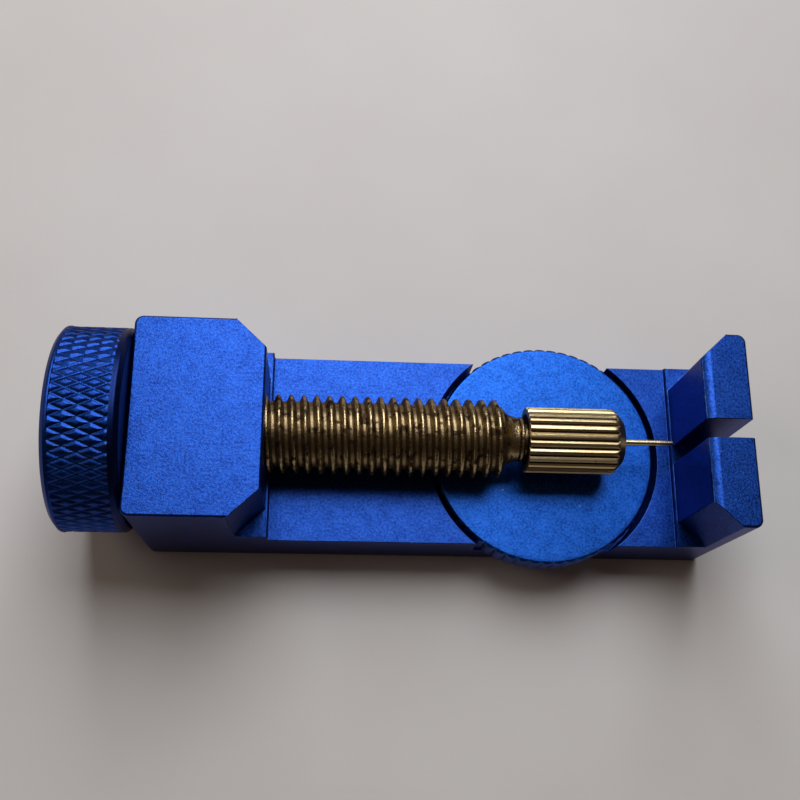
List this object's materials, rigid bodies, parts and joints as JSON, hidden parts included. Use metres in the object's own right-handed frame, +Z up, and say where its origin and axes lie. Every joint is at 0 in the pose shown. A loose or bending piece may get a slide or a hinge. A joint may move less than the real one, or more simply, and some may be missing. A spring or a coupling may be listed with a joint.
{
  "type": "spring bar tool",
  "caption": "Bench press for bracelet link pins: slotted frame, knurled hand screw with a pin chuck, and a round disc that sets the height of the bracelet.",
  "frame": {"origin": "centre of the frame's flat underside, where the tool stands on the bench", "axes": "+X along the tool from the knob to the slotted fork, +Y across it, +Z up from the bench"},
  "size_m": [0.0796, 0.0278, 0.0272],
  "materials": {
    "frame": "bead-blasted blue anodised",
    "spindle": "plated, aged",
    "knob": "knurled blue anodised",
    "knob_set_screw": "black oxide",
    "pin_chuck": "pale plated brass, straight knurl",
    "drive_pin": "ground",
    "height_disc": "bead-blasted blue anodised",
    "disc_stud": "turned",
    "disc_stop_ring": "spring steel"
  },
  "bodies": {
    "frame": {"frame": "frame"},
    "pin": {"drive_pin": "drive_pin"},
    "spindle": {"spindle": "spindle", "knob": "knob", "knob_set_screw": "knob_set_screw", "pin_chuck": "pin_chuck"},
    "ring": {"disc_stop_ring": "disc_stop_ring"},
    "disc": {"height_disc": "height_disc", "disc_stud": "disc_stud"}
  },
  "joints": [
    {"name": "spindle_feed", "type": "slide", "parent": "frame", "child": "pin", "axis": [-1, 0, 0], "range_m": [0, 0.03]},
    {"name": "spindle_turn", "type": "hinge", "parent": "pin", "child": "spindle", "pos_m": [0, 0, 0.0153], "axis": [-1, 0, 0], "range_deg": [0, 7200]},
    {"name": "disc_lift", "type": "slide", "parent": "frame", "child": "ring", "axis": [0, 0, 1], "range_m": [0, 0.001]},
    {"name": "disc_turn", "type": "hinge", "parent": "ring", "child": "disc", "pos_m": [0.0137, 0, 0.0093], "axis": [0, 0, 1], "range_deg": [0, 360]}
  ],
  "couplings": [
    {"joint": "spindle_turn", "follows": "spindle_feed", "rad_per_m": 4188.8},
    {"joint": "disc_turn", "follows": "disc_lift", "rad_per_m": 6283.2}
  ]
}
